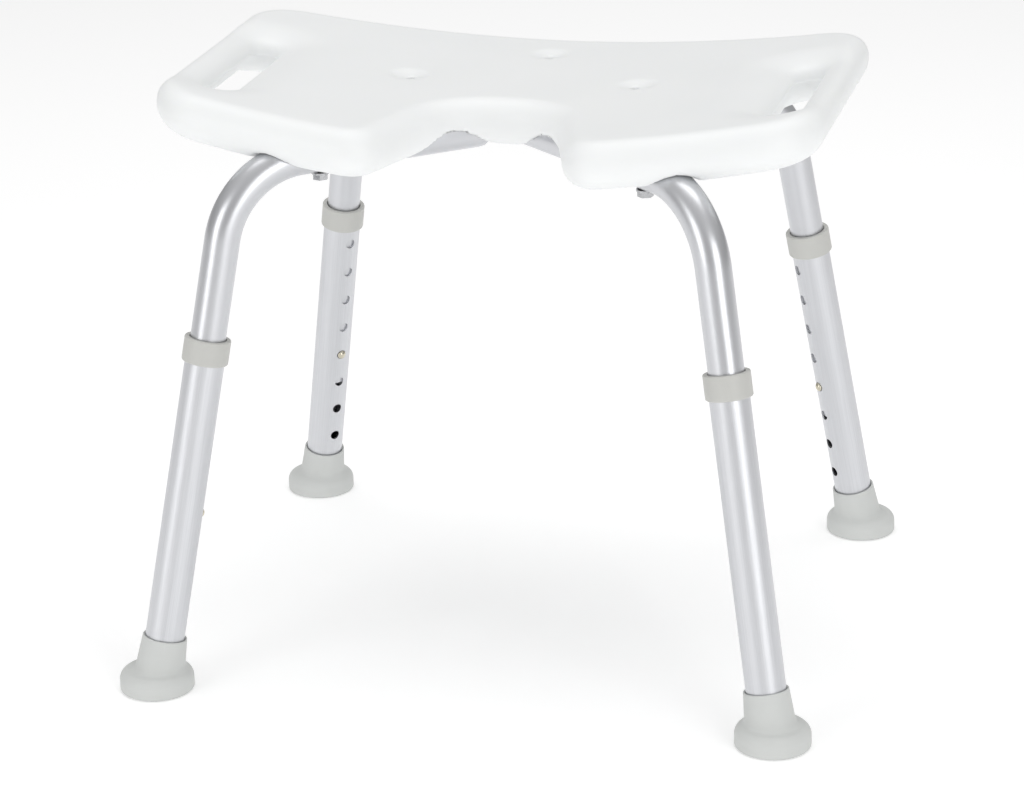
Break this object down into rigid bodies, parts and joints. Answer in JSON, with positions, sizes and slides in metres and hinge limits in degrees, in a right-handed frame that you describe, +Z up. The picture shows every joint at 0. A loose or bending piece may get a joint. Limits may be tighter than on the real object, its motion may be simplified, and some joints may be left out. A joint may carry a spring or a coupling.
{
  "type": "shower stool",
  "caption": "Height-adjustable shower stool: saddle-shaped seat with a U cut-out and hand slots, crossed tube frames and telescopic legs with spring-button locks and grey feet.",
  "frame": {"origin": "on the floor, below the crossing of the two frame tubes", "axes": "+Z up, +X to the right along the seat's long side, front (the cut-out) towards -Y"},
  "size_m": [0.5078, 0.454, 0.4277],
  "materials": {
    "seat_plastic": "white polyethylene, fine moulded grain",
    "frame_aluminium": "satin anodised tube",
    "leg_aluminium": "satin anodised tube",
    "collar_plastic": "light warm grey, satin",
    "foot_rubber": "pale grey, matt",
    "button_metal": "pale yellow metal, polished by use",
    "spring_steel": "bare spring strip",
    "bolt_steel": "zinc plated",
    "washer_steel": "zinc plated",
    "insert_brass": "turned"
  },
  "bodies": {
    "frame": {"seat": "seat_plastic", "frame_tube_a": "frame_aluminium", "frame_tube_b": "frame_aluminium", "button_spring_fl": "spring_steel", "button_spring_fr": "spring_steel", "button_spring_bl": "spring_steel", "button_spring_br": "spring_steel", "seat_bolts": "bolt_steel", "seat_washers": "washer_steel", "seat_inserts": "insert_brass"},
    "leg_fl": {"leg_tube_fl": "leg_aluminium", "collar_fl": "collar_plastic", "foot_fl": "foot_rubber"},
    "lock_fl": {"button_fl": "button_metal"},
    "leg_fr": {"leg_tube_fr": "leg_aluminium", "collar_fr": "collar_plastic", "foot_fr": "foot_rubber"},
    "lock_fr": {"button_fr": "button_metal"},
    "leg_bl": {"leg_tube_bl": "leg_aluminium", "collar_bl": "collar_plastic", "foot_bl": "foot_rubber"},
    "lock_bl": {"button_bl": "button_metal"},
    "leg_br": {"leg_tube_br": "leg_aluminium", "collar_br": "collar_plastic", "foot_br": "foot_rubber"},
    "lock_br": {"button_br": "button_metal"}
  },
  "joints": [
    {"name": "leg_slide_fl", "type": "slide", "parent": "frame", "child": "leg_fl", "axis": [-0.1521, -0.1341, -0.9792], "range_m": [-0.0762, 0.1016], "deforming": ["button_fl", "button_spring_fl"]},
    {"name": "leg_slide_fr", "type": "slide", "parent": "frame", "child": "leg_fr", "axis": [0.1521, -0.1341, -0.9792], "range_m": [-0.0762, 0.1016], "deforming": ["button_fr", "button_spring_fr"]},
    {"name": "leg_slide_bl", "type": "slide", "parent": "frame", "child": "leg_bl", "axis": [-0.1521, 0.1341, -0.9792], "range_m": [-0.0762, 0.1016], "deforming": ["button_bl", "button_spring_bl"]},
    {"name": "leg_slide_br", "type": "slide", "parent": "frame", "child": "leg_br", "axis": [0.1521, 0.1341, -0.9792], "range_m": [-0.0762, 0.1016], "deforming": ["button_br", "button_spring_br"]},
    {"name": "button_press_fl", "type": "slide", "parent": "frame", "child": "lock_fl", "axis": [-0.7345, -0.6476, 0.2028], "range_m": [0, 0.0049], "stiffness_N_per_m": 4000, "springref_m": -0.002, "deforming": ["button_spring_fl"]},
    {"name": "button_press_fr", "type": "slide", "parent": "frame", "child": "lock_fr", "axis": [0.7345, -0.6476, 0.2028], "range_m": [0, 0.0049], "stiffness_N_per_m": 4000, "springref_m": -0.002, "deforming": ["button_spring_fr"]},
    {"name": "button_press_bl", "type": "slide", "parent": "frame", "child": "lock_bl", "axis": [-0.7345, 0.6476, 0.2028], "range_m": [0, 0.0049], "stiffness_N_per_m": 4000, "springref_m": -0.002, "deforming": ["button_spring_bl"]},
    {"name": "button_press_br", "type": "slide", "parent": "frame", "child": "lock_br", "axis": [0.7345, 0.6476, 0.2028], "range_m": [0, 0.0049], "stiffness_N_per_m": 4000, "springref_m": -0.002, "deforming": ["button_spring_br"]}
  ]
}
